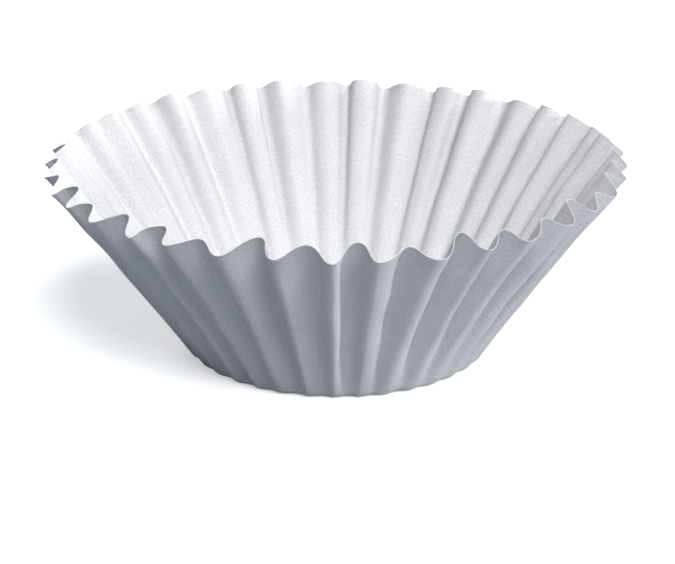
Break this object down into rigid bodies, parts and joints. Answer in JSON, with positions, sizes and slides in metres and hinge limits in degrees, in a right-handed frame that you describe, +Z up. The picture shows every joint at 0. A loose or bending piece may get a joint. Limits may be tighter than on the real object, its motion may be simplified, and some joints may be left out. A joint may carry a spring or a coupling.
{
  "type": "paper coffee filter",
  "caption": "Basket coffee filter: a disc of white paper pressed into a fluted, flat-bottomed cup with a ruffled rim.",
  "frame": {"origin": "centre of the flat floor, on its underside", "axes": "+Z up through the open rim, -Y the side that the picture is taken from, +X to its right"},
  "size_m": [0.1604, 0.1634, 0.0581],
  "materials": {
    "filter_paper": "matt"
  },
  "bodies": {
    "root": {"filter_paper": "filter_paper"}
  },
  "joints": []
}
